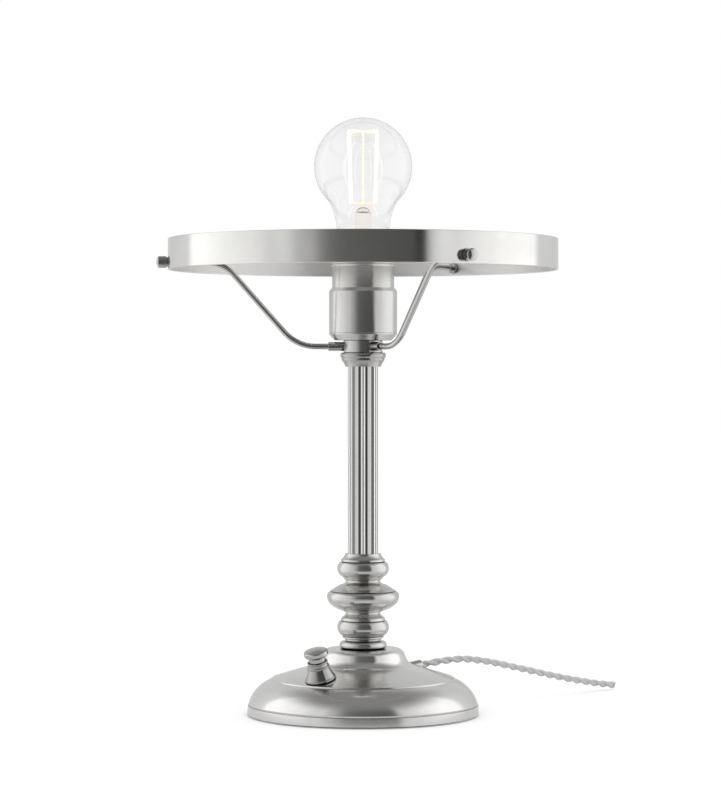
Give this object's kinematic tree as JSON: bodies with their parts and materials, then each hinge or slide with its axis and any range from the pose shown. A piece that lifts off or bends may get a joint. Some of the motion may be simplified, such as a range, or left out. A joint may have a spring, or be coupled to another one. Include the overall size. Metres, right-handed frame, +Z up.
{
  "type": "table lamp base",
  "caption": "Nickel-plated table lamp base: weighted domed foot with push switch, turned stem with fluted column, bent arms carrying a shade ring, screw lamp holder with bulb.",
  "frame": {"origin": "centre of the base's underside, on the table", "axes": "+Z up along the stem, -Y towards the viewer of the front, with the push switch at the front left"},
  "size_m": [0.2937, 0.2519, 0.365],
  "materials": {
    "nickel": "polished nickel plate on brass",
    "nickel_button": "polished nickel plate",
    "iron": "as cast",
    "steel": "zinc plated",
    "felt": "felt",
    "brass": "machined",
    "porcelain": "glazed porcelain",
    "solder": "dull solder",
    "black_glass": "black glass",
    "bulb_metal": "rolled thread",
    "clear_glass": "clear",
    "mount_glass": "clear",
    "filament": "lit",
    "support_wire": "drawn wire",
    "bakelite": "moulded",
    "spring_steel": "drawn wire",
    "textile": "braided sleeve",
    "lead_grey": "sleeved wire"
  },
  "bodies": {
    "lamp": {"arm_back": "nickel", "arm_front": "nickel", "arm_hub": "nickel", "arm_left": "nickel", "arm_sockets": "nickel", "base_plate": "steel", "base_screws": "steel", "base_shell": "nickel", "base_weight": "iron", "capital": "nickel", "column": "nickel", "cord": "textile", "cord_bushing": "nickel", "cord_clamp": "bakelite", "cord_leads": "lead_grey", "felt_pad": "felt", "foot_ring": "nickel", "holder_cap": "nickel", "holder_centre_contact": "brass", "holder_insulator": "porcelain", "holder_nut": "brass", "holder_screw_shell": "brass", "holder_shell": "nickel", "holder_terminals": "brass", "lower_knop": "nickel", "middle_knop": "nickel", "ring_lock_nuts": "nickel", "rod_nut": "brass", "rod_washer": "steel", "shade_ring": "nickel", "stem_wires": "lead_grey", "switch_body": "bakelite", "switch_housing": "nickel", "switch_leads": "lead_grey", "switch_nut": "brass", "switch_spring": "spring_steel", "switch_terminals": "brass", "terminal_block": "porcelain", "tie_rod": "steel", "upper_knop": "nickel"},
    "switch_button": {"switch_button": "nickel_button"},
    "bulb_tip": {"bulb_tip": "solder"},
    "bulb": {"bulb_button": "black_glass", "bulb_cap": "bulb_metal", "bulb_glass": "clear_glass", "bulb_stem": "mount_glass", "bulb_filaments": "filament", "bulb_supports": "support_wire"},
    "thumb_nut_left": {"thumb_nut_left": "nickel"},
    "thumb_nut_front": {"thumb_nut_front": "nickel"},
    "thumb_nut_back": {"thumb_nut_back": "nickel"}
  },
  "joints": [
    {"name": "switch_push", "type": "slide", "parent": "lamp", "child": "switch_button", "axis": [0.1644, 0.2438, -0.9558], "range_m": [0, 0.003], "stiffness_N_per_m": 600, "springref_m": -0.003, "deforming": ["switch_spring"]},
    {"name": "bulb_lift", "type": "slide", "parent": "lamp", "child": "bulb_tip", "axis": [0, 0, 1], "range_m": [0, 0.01815]},
    {"name": "bulb_turn", "type": "hinge", "parent": "bulb_tip", "child": "bulb", "pos_m": [0, 0, 0.28], "axis": [0, 0, 1], "range_deg": [0, 1801]},
    {"name": "thumb_nut_left_turn", "type": "hinge", "parent": "lamp", "child": "thumb_nut_left", "pos_m": [-0.1192, 0, 0.27662], "axis": [-1, 0, 0], "continuous": true},
    {"name": "thumb_nut_front_turn", "type": "hinge", "parent": "lamp", "child": "thumb_nut_front", "pos_m": [0.0596, -0.10323, 0.27662], "axis": [0.5, -0.866, 0], "continuous": true},
    {"name": "thumb_nut_back_turn", "type": "hinge", "parent": "lamp", "child": "thumb_nut_back", "pos_m": [0.0596, 0.10323, 0.27662], "axis": [0.5, 0.866, 0], "continuous": true}
  ],
  "couplings": [
    {"joint": "bulb_turn", "follows": "bulb_lift", "rad_per_m": 1730.9}
  ]
}
